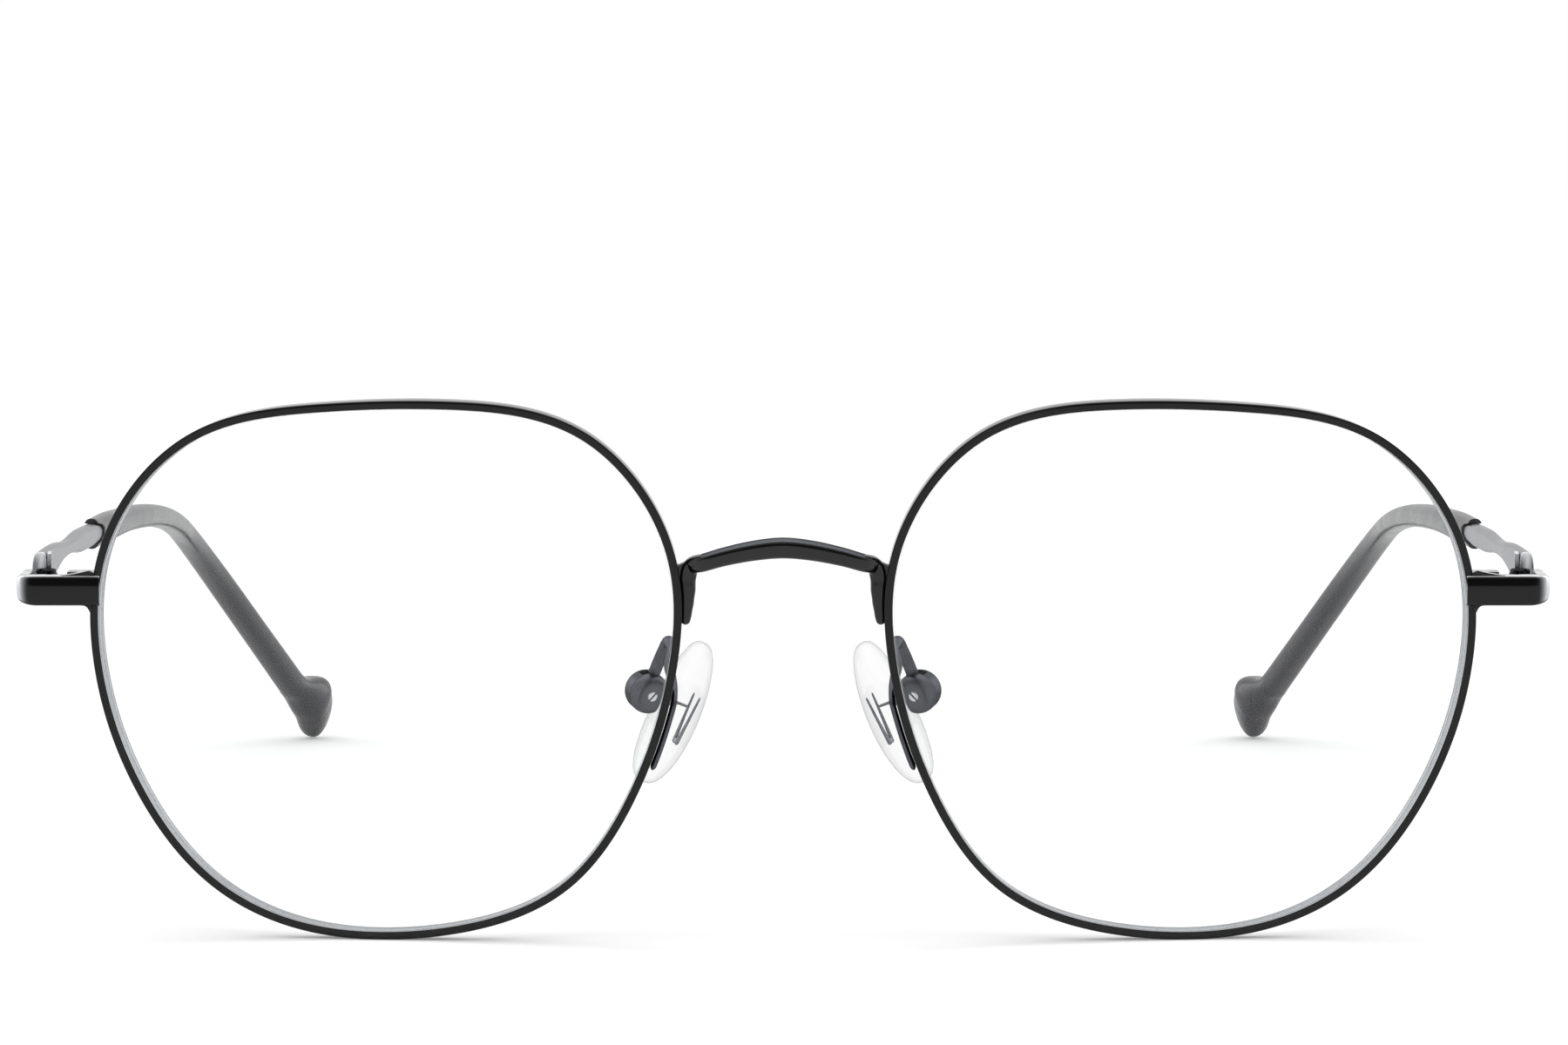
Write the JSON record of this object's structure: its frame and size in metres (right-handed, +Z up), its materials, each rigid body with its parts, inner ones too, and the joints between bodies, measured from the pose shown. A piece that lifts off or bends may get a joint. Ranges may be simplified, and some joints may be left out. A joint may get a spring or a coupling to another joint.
{
  "type": "eyeglasses",
  "caption": "Wire-rim eyeglasses with softly angular rims, an arched bridge, clear nose pads and folding temples that curve down into plastic tips.",
  "frame": {"origin": "On the floor under the middle of the open glasses: halfway across, halfway from the front of the bridge to the back of the tips", "axes": "+X towards the wearer's left, +Y from the front back to the temple tips, +Z up"},
  "size_m": [0.1342, 0.1466, 0.0476],
  "materials": {
    "black_metal": "gloss black lacquer on metal wire and strip",
    "gunmetal": "satin gunmetal plating on the metal temples",
    "dark_gunmetal": "dark gunmetal plating on the pad arms and boxes",
    "screw_steel": "plain steel screws",
    "pad_core_steel": "plain stamped steel inside the clear pad",
    "clear_lens": "clear polished lens with no tint",
    "clear_pad": "clear soft pad",
    "charcoal_tip": "satin charcoal plastic"
  },
  "bodies": {
    "front": {"bridge": "black_metal", "rim_right": "black_metal", "rim_left": "black_metal", "lens_right": "clear_lens", "lens_left": "clear_lens", "rim_lock_upper_right": "black_metal", "rim_lock_upper_left": "black_metal", "rim_lock_lower_right": "black_metal", "rim_lock_lower_left": "black_metal", "rim_lock_screw_right": "screw_steel", "rim_lock_screw_left": "screw_steel", "end_piece_right": "black_metal", "end_piece_left": "black_metal", "hinge_front_right": "black_metal", "hinge_front_left": "black_metal", "hinge_screw_right": "screw_steel", "hinge_screw_left": "screw_steel", "pad_arm_right": "dark_gunmetal", "pad_arm_left": "dark_gunmetal", "pad_box_right": "dark_gunmetal", "pad_box_left": "dark_gunmetal", "pad_screw_right": "screw_steel", "pad_screw_left": "screw_steel"},
    "temple_right": {"temple_bar_right": "gunmetal", "hinge_temple_right": "gunmetal", "temple_tip_right": "charcoal_tip"},
    "temple_left": {"temple_bar_left": "gunmetal", "hinge_temple_left": "gunmetal", "temple_tip_left": "charcoal_tip"},
    "pad_right": {"pad_core_right": "pad_core_steel", "nose_pad_right": "clear_pad"},
    "pad_left": {"pad_core_left": "pad_core_steel", "nose_pad_left": "clear_pad"}
  },
  "joints": [
    {"name": "temple_right_fold", "type": "hinge", "parent": "front", "child": "temple_right", "pos_m": [-0.06485, -0.06166, 0.03064], "axis": [0, 0, -1], "range_deg": [0, 86]},
    {"name": "temple_left_fold", "type": "hinge", "parent": "front", "child": "temple_left", "pos_m": [0.06485, -0.06166, 0.03064], "axis": [0, 0, 1], "range_deg": [0, 80]},
    {"name": "pad_right_rock", "type": "hinge", "parent": "front", "child": "pad_right", "pos_m": [-0.012, -0.06205, 0.02114], "axis": [-0.3686, 0.9033, 0.2195], "range_deg": [-8, 8]},
    {"name": "pad_left_rock", "type": "hinge", "parent": "front", "child": "pad_left", "pos_m": [0.012, -0.06205, 0.02114], "axis": [0.3686, 0.9033, 0.2195], "range_deg": [-8, 8]}
  ]
}
